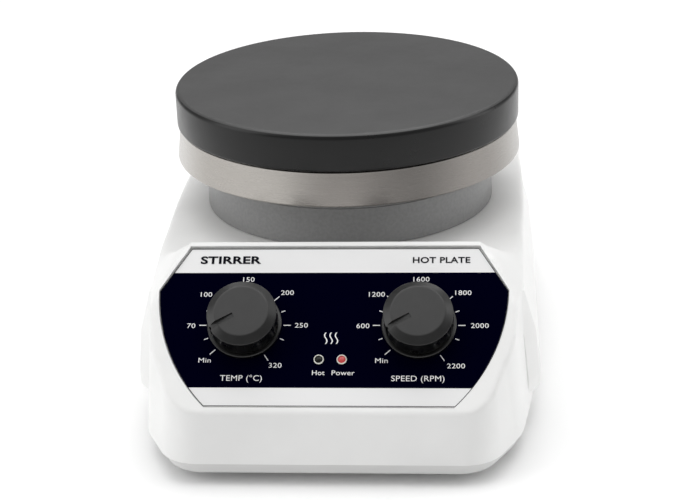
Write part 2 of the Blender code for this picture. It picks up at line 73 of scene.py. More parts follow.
panel = {
    "knobX": rightPivot.x,
    "knobS": 31.0 * mm,  # knob centre above the film's lower edge
    "length": 61.7 * mm,
    "apex": 44.6 * mm,  # where the curved sides meet the cut corners
    "halfWidth": 62.6 * mm,
    "sideRadius": 66.0 * mm,
    "sideCentre": 46.0 * mm,
    "topHalf": 52.2 * mm,
    "rim": 0.9 * mm,  # height of the raised frame over the film
    "film": 0.6 * mm,
    "lampX": 4.05 * mm,
    "lampS": 17.7 * mm,
    "shaftHole": 4.4 * mm,
    "lampHole": 1.9 * mm,
    "gap": (0.3 * mm, 0.7 * mm, 0.8 * mm),  # between film and recess: sides, top, bottom
    "bandLow": 7.0 * mm,
    "bandHigh": 51.9 * mm,
}
panelUp = panelNormal.cross(Vector((1, 0, 0)))
panelOrigin = (leftPivot + rightPivot) / 2 - panelUp * panel["knobS"]
panelAxes = Matrix(((1, 0, 0), panelUp, panelNormal)).transposed().to_4x4()
panelFrame = Matrix.Translation(panelOrigin) @ panelAxes


def onPanel(x, s, height=0.0):
    return panelFrame @ Matrix.Translation((x, s, height))


def clearSelection():
    if bpy.context.mode != "OBJECT":
        bpy.ops.object.mode_set(mode="OBJECT")
    bpy.ops.object.select_all(action="DESELECT")


def workOn(piece, edit=False):
    clearSelection()
    bpy.context.view_layer.objects.active = piece
    piece.select_set(True)
    if edit:
        bpy.ops.object.mode_set(mode="EDIT")
        bpy.ops.mesh.select_all(action="SELECT")


def nameActive(name):
    piece = bpy.context.object
    piece.name = name
    piece.data.name = name
    return piece


def settle(piece, place=None):
    workOn(piece)
    if place is not None:
        piece.matrix_world = place @ piece.matrix_world
    bpy.ops.object.transform_apply(location=True, rotation=True, scale=True)
    return piece


def addBlock(name, low, high, place=None):
    clearSelection()
    low, high = Vector(low), Vector(high)
    bpy.ops.mesh.primitive_cube_add(size=1, location=(low + high) / 2, scale=high - low)
    return settle(nameActive(name), place)


def addDisc(name, radius, low, high, steps=48, place=None):
    clearSelection()
    bpy.ops.mesh.primitive_cylinder_add(
        vertices=steps, radius=radius, depth=high - low, location=(0, 0, (low + high) / 2))
    return settle(nameActive(name), place)


def sliceOff(piece, point, normal):
    workOn(piece, edit=True)
    bpy.ops.mesh.bisect(plane_co=point, plane_no=normal, use_fill=True, clear_outer=True)
    bpy.ops.object.mode_set(mode="OBJECT")


def drawLine(name, points):
    clearSelection()
    bpy.ops.mesh.primitive_plane_add(size=mm)
    piece = nameActive(name)
    bpy.ops.object.mode_set(mode="EDIT")
    bpy.ops.mesh.select_all(action="SELECT")
    bpy.ops.mesh.merge(type="CENTER")
    bpy.ops.transform.translate(value=points[0])
    for here, there in zip(points, points[1:]):
        step = Vector(there) - Vector(here)
        bpy.ops.mesh.extrude_region_move(TRANSFORM_OT_translate={"value": step})
    return piece


def turnProfile(name, profile, steps=96, place=None):
    piece = drawLine(name, [(radius, 0, height) for radius, height in profile])
    bpy.ops.mesh.select_all(action="SELECT")
    bpy.ops.mesh.spin(steps=steps, angle=math.tau, center=(0, 0, 0), axis=(0, 0, 1))
    bpy.ops.mesh.select_all(action="SELECT")
    bpy.ops.mesh.remove_doubles(threshold=weld)
    bpy.ops.mesh.normals_make_consistent(inside=False)
    bpy.ops.object.mode_set(mode="OBJECT")
    return settle(piece, place)


def copyTo(piece, name, place):
    workOn(piece)
    bpy.ops.object.duplicate()
    return settle(nameActive(name), place)


def refineNode(node, name, width, angle=25):
    clearSelection()
    bpy.ops.mesh.primitive_plane_add(size=mm)
    piece = bpy.context.object
    piece.data = bpy.data.objects[node].data.copy()
    nameActive(name)
    piece.matrix_world = bpy.data.objects[node].matrix_world.copy()
    settle(piece)
    workOn(piece, edit=True)
    bpy.ops.mesh.remove_doubles(threshold=weld)
    bpy.ops.mesh.dissolve_limited(angle_limit=math.radians(1))
    bpy.ops.object.mode_set(mode="OBJECT")
    softenEdges(piece, width, 2, angle)
    return smooth(piece, 35)


def applyModifier(piece, kind, **values):
    workOn(piece)
    modifier = piece.modifiers.new(kind.lower(), kind)
    for key, value in values.items():
        setattr(modifier, key, value)
    bpy.ops.object.modifier_apply(modifier=modifier.name)
    return piece


def cutWith(piece, *cutters, operation="DIFFERENCE"):
    for cutter in cutters:
        applyModifier(piece, "BOOLEAN", operation=operation, object=cutter)
        bpy.data.objects.remove(cutter, do_unlink=True)
    return piece


def joinWith(piece, *others):
    return cutWith(piece, *others, operation="UNION")


def gather(pieces):
    clearSelection()
    for piece in pieces:
        piece.select_set(True)
    bpy.context.view_layer.objects.active = pieces[0]
    bpy.ops.object.join()
    return bpy.context.object


def softenEdges(piece, width, segments=3, angle=30):
    return applyModifier(
        piece, "BEVEL", width=width, segments=segments, limit_method="ANGLE",
        angle_limit=math.radians(angle), use_clamp_overlap=True, harden_normals=False,
        miter_outer="MITER_ARC")


def smooth(piece, angle=30):
    workOn(piece)
    bpy.ops.object.shade_smooth_by_angle(angle=math.radians(angle))
    return piece


def arc(x, y, radius, start, end, count):
    turns = [math.radians(start + (end - start) * k / count) for k in range(count + 1)]
    return [(x + radius * math.cos(turn), y + radius * math.sin(turn)) for turn in turns]


def linear(code):
    values = [int(code[k:k + 2], 16) / 255 for k in (1, 3, 5)]
    return (*[v / 12.92 if v <= 0.04045 else ((v + 0.055) / 1.055) ** 2.4 for v in values], 1)


def addNode(tree, kind, settings=None, inputs=None, links=None):
    node = tree.nodes.new(kind)
    for key, value in (settings or {}).items():
        setattr(node, key, value)
    for key, value in (inputs or {}).items():
        node.inputs[key].default_value = value
    for key, source in (links or {}).items():
        tree.links.new(source, node.inputs[key])
    return node


def startMaterial(name, colour, roughness, metallic=0.0, **sockets):
    material = bpy.data.materials.new(name)
    material.use_nodes = True
    tree = material.node_tree
    shader = tree.nodes["Principled BSDF"]
    shader.inputs["Base Color"].default_value = linear(colour)
    shader.inputs["Roughness"].default_value = roughness
    shader.inputs["Metallic"].default_value = metallic
    for key, value in sockets.items():
        shader.inputs[key.replace("_", " ")].default_value = value
    return material, tree, shader


def objectPlace(tree, scale=(1, 1, 1), shift=(0, 0, 0)):
    coordinates = addNode(tree, "ShaderNodeTexCoord")
    return addNode(
        tree, "ShaderNodeMapping", inputs={"Scale": scale, "Location": shift},
        links={"Vector": coordinates.outputs["Object"]}).outputs["Vector"]


def grain(tree, shader, place, size, depth, detail=2.0):
    noise = addNode(
        tree, "ShaderNodeTexNoise", inputs={"Scale": 1 / size, "Detail": detail}, links={"Vector": place})
    bump = addNode(
        tree, "ShaderNodeBump", inputs={"Strength": 1.0, "Distance": depth},
        links={"Height": noise.outputs["Fac"]})
    tree.links.new(bump.outputs["Normal"], shader.inputs["Normal"])


def mottle(tree, shader, place, size, dark, light):
    noise = addNode(
        tree, "ShaderNodeTexNoise", inputs={"Scale": 1 / size, "Detail": 3.0}, links={"Vector": place})
    ramp = addNode(tree, "ShaderNodeValToRGB", links={"Fac": noise.outputs["Fac"]})
    for stop, share, colour in zip(ramp.color_ramp.elements, (0.35, 0.65), (dark, light)):
        stop.position = share
        stop.color = linear(colour)
    tree.links.new(ramp.outputs["Color"], shader.inputs["Base Color"])


def roughnessSpread(tree, shader, place, size, low, high):
    noise = addNode(
        tree, "ShaderNodeTexNoise", inputs={"Scale": 1 / size, "Detail": 2.0}, links={"Vector": place})
    spread = addNode(
        tree, "ShaderNodeMapRange", inputs={"From Min": 0.3, "From Max": 0.7, "To Min": low, "To Max": high},
        links={"Value": noise.outputs["Fac"]})
    tree.links.new(spread.outputs["Result"], shader.inputs["Roughness"])


# base colours round the steel band, by the share of a turn from its left side at the rear.
# they are painted reflections: the light and dark stretches that a studio's reflections give such a band
bandPaintedReflections = (
    (0.0, "#a8a5a1"), (0.06, "#bbb8b4"), (0.12, "#a9a5a0"), (0.19, "#aeaaa5"), (0.25, "#8a8682"),
    (0.32, "#6f6c69"), (0.395, "#8f8b87"), (0.47, "#a8a5a1"), (0.6, "#8d8a86"), (0.74, "#aeaba6"),
    (0.86, "#8a8783"))


def whiteAbs():
    # injection-moulded ABS from a spark-eroded mould: satin white with a very fine even grain
    material, tree, shader = startMaterial("white satin ABS", "#f3f3f2", 0.38, Coat_Weight=0.0, IOR=1.5)
    place = objectPlace(tree)
    grain(tree, shader, place, 0.5 * mm, 0.012 * mm)
    mottle(tree, shader, place, 30 * mm, "#f0f0ef", "#f5f5f4")
    roughnessSpread(tree, shader, place, 4 * mm, 0.34, 0.44)
    return material


def litPlateTopCoating():
    # aluminium casting under a matt high-temperature coating: its base colour is lighter than the edge's copy
    # of the same coating, painted light on the top that faces the lamps
    material, tree, shader = startMaterial("matt black plate top with painted light", "#3d3d3d", 0.42, IOR=1.5)
    place = objectPlace(tree)
    grain(tree, shader, place, 0.35 * mm, 0.008 * mm)
    mottle(tree, shader, place, 22 * mm, "#3b3b3b", "#404040")
    roughnessSpread(tree, shader, place, 9 * mm, 0.40, 0.47)
    return material


def shadedPlateEdgeCoating():
    # the same coating on the turned edge: smoother, with its base colour painted nearly black as shade, and a
    # soft highlight where it curves away
    material, tree, shader = startMaterial(
        "satin black plate edge with painted shade", "#151515", 0.3, IOR=1.5, Specular_IOR_Level=0.3)
    place = objectPlace(tree)
    grain(tree, shader, place, 0.35 * mm, 0.004 * mm)
    roughnessSpread(tree, shader, place, 9 * mm, 0.27, 0.34)
    return material


def brushedStainless():
    # rolled stainless sheet brushed round the band: warm grey with fine lines, and lighter and darker
    # stretches of painted reflection in its base colour
    material, tree, shader = startMaterial("brushed stainless steel", "#a8a49f", 0.3, 1.0)
    place = objectPlace(tree, scale=(0.02, 0.02, 1), shift=-plateAxis * 0.02)
    lines = addNode(
        tree, "ShaderNodeTexNoise", inputs={"Scale": 1 / (0.14 * mm), "Detail": 3.0}, links={"Vector": place})
    bump = addNode(
        tree, "ShaderNodeBump", inputs={"Strength": 1.0, "Distance": 0.012 * mm},
        links={"Height": lines.outputs["Fac"]})
    tree.links.new(bump.outputs["Normal"], shader.inputs["Normal"])
    spread = addNode(
        tree, "ShaderNodeMapRange", inputs={"From Min": 0.3, "From Max": 0.7, "To Min": 0.24, "To Max": 0.34},
        links={"Value": lines.outputs["Fac"]})
    tree.links.new(spread.outputs["Result"], shader.inputs["Roughness"])
    # base colour round the band from the table above: painted reflections
    around = addNode(
        tree, "ShaderNodeTexGradient", {"gradient_type": "RADIAL"},
        links={"Vector": objectPlace(tree, shift=-plateAxis)})
    ramp = addNode(tree, "ShaderNodeValToRGB", links={"Fac": around.outputs["Fac"]})
    ramp.color_ramp.interpolation = "EASE"
    stops = ramp.color_ramp.elements
    stops[0].position, stops[1].position = 0.0, 1.0
    stops[0].color = stops[1].color = linear(bandPaintedReflections[0][1])
    for place, tone in bandPaintedReflections[1:]:
        stops.new(place).color = linear(tone)
    tree.links.new(ramp.outputs["Color"], shader.inputs["Base Color"])
    return material


def greyPowderCoat():
    # die casting with a mid-grey powder coat: soft sheen and a visible fine orange peel
    material, tree, shader = startMaterial("grey powder coat", "#8c8c8c", 0.45, IOR=1.5)
    place = objectPlace(tree)
    grain(tree, shader, place, 0.6 * mm, 0.025 * mm)
    mottle(tree, shader, place, 1.2 * mm, "#888888", "#909090")
    return material


def knobPlastic():
    # moulded ABS with an eroded finish: charcoal, dry sheen
    material, tree, shader = startMaterial("charcoal knob plastic", "#1f1f1f", 0.42, IOR=1.5)
    place = objectPlace(tree)
    grain(tree, shader, place, 0.3 * mm, 0.015 * mm)
    mottle(tree, shader, place, 5 * mm, "#1d1d1d", "#212121")
    return material


def plainFinish(name, colour, roughness, metallic=0.0, size=0.4, depth=0.01, spread=0.06, **sockets):
    material, tree, shader = startMaterial(name, colour, roughness, metallic, **sockets)
    place = objectPlace(tree)
    grain(tree, shader, place, size * mm, depth * mm)
    roughnessSpread(tree, shader, place, 6 * mm, max(roughness - spread, 0.02), roughness + spread)
    return material


finishes = {
    "case": whiteAbs(),
    # the tray's base colour, greyer than the case's white, is painted shade under the case's edge
    "tray": plainFinish("pale grey ABS tray", "#dcdcdb", 0.42),
    "plate": litPlateTopCoating(),
    "plateShadedEdge": shadedPlateEdgeCoating(),
    "band": brushedStainless(),
    "neck": greyPowderCoat(),
    "knob": knobPlastic(),
    # darker copies of the knob plastic for the chamfer and the side: painted shade, the side also glossier
    "knobShadedChamfer": plainFinish("satin charcoal knob chamfer with painted shade", "#181818", 0.36, depth=0.004),
    "knobShadedSide": plainFinish("polished black knob side with painted shade", "#080808", 0.3, depth=0.0),
    "filmWhite": plainFinish("white screen print", "#efefef", 0.45),
    "filmNavy": plainFinish("navy screen print", "#010114", 0.6, Specular_IOR_Level=0.0),
    "inkWhite": plainFinish("white legend ink", "#f2f2f2", 0.5),
    "inkGrey": plainFinish("dark grey legend ink", "#454547", 0.5),
    "inkNavy": plainFinish("navy legend ink", "#020210", 0.6, Specular_IOR_Level=0.1),
    "redLens": plainFinish("red polycarbonate lens", "#c8403f", 0.3, IOR=1.58),
    "darkLens": plainFinish("smoked polycarbonate lens", "#0d0d08", 0.35, Specular_IOR_Level=0.25),
    "bezel": plainFinish("pale lamp ring", "#f4f4ea", 0.35),
    "steel": plainFinish("zinc plated steel", "#c4c6c8", 0.3, 1.0),
    "rubber": plainFinish("black foot rubber", "#262626", 0.75, size=0.8, depth=0.05),
    "blackPlastic": plainFinish("black nylon moulding", "#1d1d1e", 0.42),
    "aluminium": plainFinish("cast aluminium", "#c9cacc", 0.42, 1.0, size=0.9, depth=0.05),
    "copper": plainFinish("lacquered copper", "#b26b3f", 0.35, 1.0, size=0.5, depth=0.1),
    "iron": plainFinish("laminated iron", "#5a5b5e", 0.45, 1.0),
    "magnet": plainFinish("nickel plated magnet", "#b8bac0", 0.22, 1.0),
    "board": plainFinish("green solder mask", "#1f6b3a", 0.35),
    "mica": plainFinish("mica laminate", "#a5957a", 0.55, size=3.0, depth=0.05),
    "wool": plainFinish("mineral wool", "#d8d0b6", 0.95, size=1.2, depth=0.5),
    "brass": plainFinish("turned brass", "#c9a75c", 0.28, 1.0),
    "tape": plainFinish("yellow polyester tape", "#d8b53c", 0.35),
    "sleeve": plainFinish("blue heat-shrink sleeve", "#23386e", 0.35),
}


def dress(piece, finish, body="base", replaces=()):
    piece.data.materials.clear()
    piece.data.materials.append(finishes[finish])
    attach(piece, body)
    if replaces:
        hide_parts(*replaces)
    return piece


# the CAD nodes that stay take their finish by material slot
slotFinishes = {
    "case_plastic": "case", "plate_coating": "plate", "brushed_steel": "band", "neck_casting": "neck",
    "panel_film": "filmWhite", "knob_plastic": "knob", "zinc_steel": "steel", "mica_sheet": "mica",
    "mineral_wool": "wool", "foot_rubber": "rubber", "shaft_brass": "brass", "lamp_olive": "darkLens",
    "lamp_red": "redLens", "bezel_white": "bezel", "circuit_board": "board", "transformer_tape": "tape",
    "capacitor_sleeve": "sleeve", "black_moulding": "blackPlastic", "bare_aluminium": "aluminium",
    "copper_winding": "copper", "rotor_iron": "iron", "magnet_nickel": "magnet",
}
for node in frame["nodes"]:
    for holder in bpy.data.objects[node].material_slots:
        holder.material = finishes[slotFinishes[holder.material.name.split(".")[0]]]
print("materials ready")


# where the camera stands and what it is aimed at
viewpoint = {
    "from": (54.97 * mm, -648.1 * mm, 319.08 * mm),
    "towards": (-1.06 * mm, 22.0 * mm, 33.52 * mm),
    "lens": 91.56,
    "roll": 2.03,  # degrees
}


def addCamera():
    place, target = Vector(viewpoint["from"]), Vector(viewpoint["towards"])
    turn = (target - place).to_track_quat("-Z", "Y").to_matrix().to_4x4()
    clearSelection()
    bpy.ops.object.camera_add()
    camera = bpy.context.object
    roll = Matrix.Rotation(-math.radians(viewpoint["roll"]), 4, "Z")
    camera.matrix_world = Matrix.Translation(place) @ turn @ roll
    camera.data.lens = viewpoint["lens"]
    camera.data.sensor_width = 36.0
    camera.data.clip_start = 10 * mm
    camera.data.clip_end = 20.0
    bpy.context.scene.camera = camera


def addSoftbox(name, place, target, size, power):
    clearSelection()
    bpy.ops.object.light_add(type="AREA", location=place)
    light = bpy.context.object
    light.name = name
    light.rotation_mode = "QUATERNION"
    light.rotation_quaternion = (Vector(target) - Vector(place)).to_track_quat("-Z", "Y")
    light.data.shape = "RECTANGLE"
    light.data.size, light.data.size_y = size
    light.data.energy = power


studio = {
    "floor": "#ffffff",
    "world": 0.34,
    "aim": (0, 0, 0.05),
    # name, place, width and height, all in metres, and power in watts
    "softboxes": (
        ("overhead softbox", (0.0, 0.05, 1.3), (1.6, 1.0), 10.6),
        ("rear softbox", (0.0, 0.95, 1.25), (1.4, 0.4), 5.0),
        ("left softbox", (-1.25, -0.3, 0.7), (0.9, 1.3), 6.6),
        ("right softbox", (1.35, 0.2, 0.65), (0.7, 1.3), 5.5),
    ),
}


def addStudio():
    clearSelection()
    bpy.ops.mesh.primitive_plane_add(size=12.0)
    floor = nameActive("studioFloor")
    paper = startMaterial("white paper floor", studio["floor"], 0.9, Specular_IOR_Level=0.0)[0]
    floor.data.materials.append(paper)

    world = bpy.data.worlds.new("studio air")
    bpy.context.scene.world = world
    world.use_nodes = True
    air = world.node_tree.nodes["Background"]
    air.inputs["Color"].default_value = (1, 1, 1, 1)
    air.inputs["Strength"].default_value = studio["world"]
    for name, place, size, power in studio["softboxes"]:
        addSoftbox(name, place, studio["aim"], size, power)
    bpy.context.scene.view_settings.view_transform = "Standard"


addCamera()
addStudio()
print("studio ready")


def roundedCorners(corners):
    points = []
    for k, (x, y, radius, steps) in enumerate(corners):
        here = Vector((x, y))
        ways = [(Vector(corners[j % len(corners)][:2]) - here).normalized() for j in (k - 1, k + 1)]
        half = ways[0].angle(ways[1]) / 2
        centre = here + (ways[0] + ways[1]).normalized() * radius / math.sin(half)
        start = here + ways[0] * radius / math.tan(half) - centre
        sweep = start.angle_signed(here + ways[1] * radius / math.tan(half) - centre)
        points += [tuple(centre + Matrix.Rotation(-sweep * j / steps, 2) @ start) for j in range(steps + 1)]
    return points


def mirrored(half):
    return half + [(-x, *rest) for x, *rest in reversed(half)]


def slotOutline(halfWidth, halfHeight, radius):
    signs = ((1, -1), (1, 1), (-1, 1), (-1, -1))
    return roundedCorners([(a * halfWidth, b * halfHeight, radius, 6) for a, b in signs])


def loftLoops(name, loops, place=None):
    clearSelection()
    piece = None
    for loop in loops:
        bpy.ops.mesh.primitive_plane_add(size=mm)
        if piece is None:
            piece = nameActive(name)
            bpy.ops.object.mode_set(mode="EDIT")
            bpy.ops.mesh.select_all(action="SELECT")
        bpy.ops.mesh.merge(type="CENTER")
        bpy.ops.transform.translate(value=loop[0])
        for here, there in zip(loop, loop[1:]):
            bpy.ops.mesh.extrude_region_move(TRANSFORM_OT_translate={"value": Vector(there) - Vector(here)})
        bpy.ops.mesh.select_linked()
        bpy.ops.object.mode_set(mode="OBJECT")
        chosen = [v for v in piece.data.vertices if v.select]
        used = [0] * len(piece.data.vertices)
        for edge in piece.data.edges:
            for end in edge.vertices:
                used[end] += 1
        for vertex in chosen:
            vertex.select = used[vertex.index] == 1
        for edge in piece.data.edges:
            edge.select = False
        bpy.ops.object.mode_set(mode="EDIT")
        bpy.ops.mesh.edge_face_add()
        bpy.ops.mesh.select_all(action="DESELECT")
    bpy.ops.mesh.select_all(action="SELECT")
    if len(loops) > 1:
        bpy.ops.mesh.bridge_edge_loops()
    bpy.ops.mesh.select_all(action="SELECT")
    bpy.ops.mesh.fill_holes(sides=0)
    bpy.ops.mesh.select_all(action="SELECT")
    bpy.ops.mesh.normals_make_consistent(inside=False)
    bpy.ops.object.mode_set(mode="OBJECT")
    return settle(piece, place)


def prism(name, outline, low, high, place=None):
    return loftLoops(name, [[(x, y, z) for x, y in outline] for z in (low, high)], place)


case = {
    "low": caseLow.z,
    "deck": 59.0 * mm,
    "crest": 69.3 * mm,
    "crestY": -54.6 * mm,
    "valley": 13.0 * mm,  # run of the slope behind the crest
    "wall": 2.6 * mm,
    "half": caseHigh.x - 2.7 * mm,
    "bulge": 2.2 * mm,  # how much the sides swell beside the plate
    "front": caseLow.y,
    "rear": caseHigh.y,
    "sideDraft": math.tan(math.radians(4.7)),
    "frontDraft": math.tan(math.radians(9.5)),
    "shoulderNormal": (0.765, -0.131, 0.631),
    "apexPlace": (66.7 * mm, -64.2 * mm, 53.8 * mm),
    "voxel": 0.9 * mm,
    "roundings": 4,  # smoothing passes that round the moulded edges to about 2 mm
    "shoulderRoundings": 100,
    "triangles": 70000,
    "shaftHole": 12 * mm,
    "rodHole": 7.3 * mm,
    "window": ((-45 * mm, 100 * mm, 14 * mm), (45 * mm, 120 * mm, 44 * mm)),  # for the rear plate
}


def casePlan(z, inset):
    rise = z - case["low"]
    side = rise * case["sideDraft"] + inset
    front = rise * case["frontDraft"] + inset
    corners = [
        (case["half"] - 16.0 * mm - side, case["front"] + front, 15.0 * mm - inset / 2, 12),
        (case["half"] - 4.4 * mm - side, case["front"] + 22.5 * mm + inset / 2, 24.0 * mm, 8),
        (case["half"] - side, case["front"] + 54.0 * mm, 40.0 * mm, 4),
        (case["half"] + case["bulge"] - side, 25.0 * mm, 600.0 * mm, 4),
        (case["half"] - side, case["rear"] - inset, 20.0 * mm - inset, 16),
    ]
    return [(x, y, z) for x, y in roundedCorners(mirrored(corners))]


def shoulderCut(piece, drop):
    for side in (-1, 1):
        x, y, z = case["shoulderNormal"]
        normal = Vector((x * side, y, z)).normalized()
        x, y, z = case["apexPlace"]
        sliceOff(piece, Vector((x * side, y, z)) - normal * drop, normal)


def caseBlock(name, inset, height, drop, low):
    block = loftLoops(name, [casePlan(z, inset) for z in (low, case["crest"] + 6 * mm)])
    sliceOff(block, panelFrame @ Vector((0, 0, height)), panelNormal)
    shoulderCut(block, drop)
    deck, crest = case["deck"] - drop, case["crest"] - drop
    foot, bend = case["crestY"] + case["valley"], case["valley"] / 2
    slope = [(case["crestY"], crest)]
    for k in range(9):
        share = k / 8
        slope.append((foot - bend + 2 * bend * share, deck + (crest - deck) * 0.5 * (1 - share) ** 2))
    behind, above, beside = case["rear"] + 9 * mm, 0.12, 0.09  # past the case on every side
    outline = slope + [(behind, deck), (behind, above), (case["crestY"], above)]
    cutter = [[(x, y, z) for y, z in outline] for x in (-beside, beside)]
    return cutWith(block, loftLoops("deckCutter", cutter))


# the grip along each side, in millimetres
wingShape = {
    "inner": 64.0,  # its inner face, inside the case's wall
    "section": (
        (64.0, 54.0), (68.6, 53.0), (73.0, 37.0), (74.7, 20.0), (74.5, 15.0), (70.6, 10.5), (64.0, 10.5)),
    # place along the case, and how far the grip is pulled in there
    "stations": ((-67.0, 4.6), (-61.0, 0.3), (-20.0, 0.0), (66.0, 0.0), (78.0, 5.0)),
    "edge": 0.8,
}


def wing(side):
    loops = []
    for y, pulled in wingShape["stations"]:
        loop = []
        for k, (x, z) in enumerate(wingShape["section"]):
            width = max(x - pulled, wingShape["inner"] + 0.02 * k)
            loop.append((side * width * mm, y * mm, z * mm))
        loops.append(loop)
    return softenEdges(loftLoops("wing", loops), wingShape["edge"] * mm, 3, 14)


def filmSide(low, steps, grow=0.0):
    # the film's curved right side, from the height low up to the cut corner
    radius = panel["sideRadius"] + grow
    centre = panel["halfWidth"] - panel["sideRadius"]
    heights = [low + (panel["apex"] - low) * k / steps for k in range(steps + 1)]
    return [(centre + math.sqrt(radius**2 - (s - panel["sideCentre"]) ** 2), s) for s in heights]


def labelOutline(sides=0.0, top=0.0, bottom=0.0):
    corner = (panel["topHalf"] + top * 0.55, panel["length"] + top)
    return mirrored(filmSide(-bottom, 24, sides) + [corner])


def panelHoles(low, high):
    holes = []
    for x in (-panel["knobX"], panel["knobX"]):
        holes.append(addDisc("shaftHole", panel["shaftHole"], low, high, 32, onPanel(x, panel["knobS"])))
    for x in (-panel["lampX"], panel["lampX"]):
        holes.append(addDisc("lampHole", panel["lampHole"], low, high, 32, onPanel(x, panel["lampS"])))
    return holes


def softenRegion(piece, passes, rule):
    workOn(piece)
    for vertex in piece.data.vertices:
        vertex.select = rule(vertex.co)
    bpy.ops.object.mode_set(mode="EDIT")
    bpy.ops.object.vertex_group_assign_new()
    bpy.ops.object.mode_set(mode="OBJECT")
    applyModifier(piece, "SMOOTH", factor=0.5, iterations=passes, vertex_group=piece.vertex_groups[-1].name)
    piece.vertex_groups.clear()


def atShoulder(point):
    return 53 * mm < abs(point.x) < 66.5 * mm and -60 * mm < point.y < -15 * mm and point.z > 50 * mm


def atDeckEdge(point):
    return abs(point.x) > 61 * mm and point.y > -45 * mm and point.z > 53 * mm


def buildCase():
    shell = caseBlock("case_shell", 0.0, panel["rim"], 0.0, case["low"] - 6 * mm)
    applyModifier(shell, "REMESH", mode="VOXEL", voxel_size=case["voxel"])
    applyModifier(shell, "SMOOTH", factor=0.5, iterations=case["roundings"])
    softenRegion(shell, case["shoulderRoundings"], atShoulder)
    softenRegion(shell, case["shoulderRoundings"] // 5, atDeckEdge)
    sliceOff(shell, (0, 0, case["low"]), (0, 0, -1))
    applyModifier(shell, "DECIMATE", ratio=case["triangles"] / (2 * len(shell.data.polygons)))
    joinWith(shell, wing(-1), wing(1))
    wall = case["wall"]
    hollow = caseBlock("hollow", wall, -panel["rim"] - wall, wall, case["low"] - 4 * mm)
    recess = prism("recess", labelOutline(*panel["gap"]), -panel["rim"], 20 * mm, panelFrame)
    shaftHole = addDisc("shaftHole", case["shaftHole"], 40 * mm, 80 * mm, 64, Matrix.Translation(plateAxis))
    window = addBlock("window", *case["window"])
    rodHole = addDisc("rodHole", case["rodHole"], 40 * mm, 80 * mm, 48, Matrix.Translation((0, 97 * mm, 0)))
    cutWith(shell, hollow, recess, shaftHole, window, rodHole, *panelHoles(-20 * mm, 10 * mm))
    smooth(shell, 30)
    return dress(shell, "case", replaces=("upper_housing",))


shell = buildCase()
print("case ready", len(shell.data.polygons))


hotplate = {
    "steps": 160,  # round each turned piece
    "edge": 2.1 * mm,  # roundings of the plate's upper and lower edges
    "underEdge": 1 * mm,
    "pocket": (63.5 * mm, 6 * mm),  # radius and depth of the hollow under the plate
    "bore": (2.6 * mm, 10.4 * mm),  # of the blind hole above it
    "bandTaper": 1.3 * mm,
    "bandLip": 0.3 * mm,
    "bandFoot": 0.8 * mm,
    "bandMouth": 62 * mm,
    "bandHole": 12 * mm,
    "sheet": 1 * mm,
    "neckTaper": 0.4 * mm,
    "neckMouth": 34.5 * mm,
    "neckWall": 2.7 * mm,
    # the neck's rim and its groove, as steps out from its top edge and up from its top, mm
    "neckRim": ((-1.2, 0), (-0.3, -0.4), (0, -1.1), (0, -3.6), (-0.25, -3.75), (-0.25, -4.05), (0.05, -4.2)),
}


def buildHotplate():
    low, high = plateLow.z, plateHigh.z
    radius = (plateHigh.x - plateLow.x) / 2
    axis = Matrix.Translation(plateAxis)
    edge, under = hotplate["edge"], hotplate["underEdge"]
    pocket, pocketDeep = hotplate["pocket"]
    bore, boreDeep = hotplate["bore"]
    profile = [(0, high)] + [(radius - edge + x, high - edge + z) for x, z in arc(0, 0, edge, 90, 0, 8)]
    profile += [(radius - under + x, low + under + z) for x, z in arc(0, 0, under, 0, -90, 4)]
    profile += [(pocket, low), (pocket, low + pocketDeep), (bore, low + pocketDeep), (bore, low + boreDeep)]
    profile.append((0, low + boreDeep))
    plate = turnProfile("hotplate_top", profile, hotplate["steps"], axis)
    smooth(plate, 40)
    dress(plate, "plate", replaces=("heating_plate",))
    # faces that don't face up take the darker copy of the coating: painted shade on the plate's edge
    plate.data.materials.append(finishes["plateShadedEdge"])
    for side in plate.data.polygons:
        if side.normal.z < 0.75:
            side.material_index = 1

    low, high = shroudLow.z, shroudHigh.z
    bottom = (shroudHigh.x - shroudLow.x) / 2
    top = bottom - hotplate["bandTaper"]
    mouth, hole, lip = hotplate["bandMouth"], hotplate["bandHole"], hotplate["bandLip"]
    foot, sheet = hotplate["bandFoot"], hotplate["sheet"]
    profile = [(mouth, high), (top - lip, high), (top, high - lip), (top, high - 1.3 * mm)]
    profile += [(bottom - foot + x, low + foot + z) for x, z in arc(0, 0, foot, 0, -90, 5)]
    profile += [(hole, low), (hole, low + sheet), (bottom - 1.5 * mm, low + sheet)]
    profile += [(top - sheet, high - 1.3 * mm), (mouth, high - 0.9 * mm), (mouth, high)]
    band = turnProfile("steel_band", profile, hotplate["steps"], axis)
    smooth(band, 40)
    dress(band, "band", replaces=("plate_shroud",))

    low, high = neckLow.z, neckHigh.z
    bottom = (neckHigh.x - neckLow.x) / 2
    top = bottom - hotplate["neckTaper"]
    mouth, wall = hotplate["neckMouth"], hotplate["neckWall"]
    profile = [(mouth, high)] + [(top + x * mm, high + z * mm) for x, z in hotplate["neckRim"]]
    profile += [(bottom, low), (bottom - 3 * mm, low), (top - 2.6 * mm, high - wall)]
    profile += [(mouth, high - wall), (mouth, high)]
    neck = turnProfile("neck_casting", profile, hotplate["steps"], axis)
    smooth(neck, 40)
    dress(neck, "neck", replaces=("neck_collar",))


buildHotplate()
print("hotplate ready")


